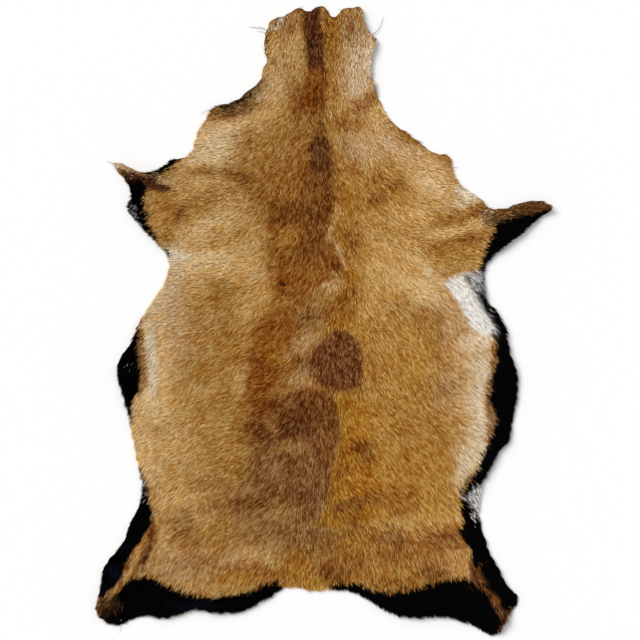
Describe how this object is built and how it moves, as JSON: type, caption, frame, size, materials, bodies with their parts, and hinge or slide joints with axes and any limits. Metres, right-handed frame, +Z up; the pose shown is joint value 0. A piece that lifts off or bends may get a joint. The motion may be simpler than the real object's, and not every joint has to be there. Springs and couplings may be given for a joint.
{
  "type": "short-haired sheepskin rug",
  "caption": "Whole short-haired sheepskin laid flat, hair side up, with neck, leg flaps and dried-in folds, brown with black rims.",
  "frame": {"origin": "centre of the bounding box at the underside, where the leather rests on the floor", "axes": "+Y toward the neck, along the back; +X to the skin's right flank as seen from above with the neck away from the viewer; +Z up, out of the hair"},
  "size_m": [0.6876, 0.9461, 0.0208],
  "materials": {
    "coat": "short lying hair, golden to dark brown with black and white rims, dry with a faint sheen",
    "leather": "pale suede flesh side of tanned leather, matt"
  },
  "bodies": {
    "root": {"sheepskin": "coat"}
  },
  "joints": []
}
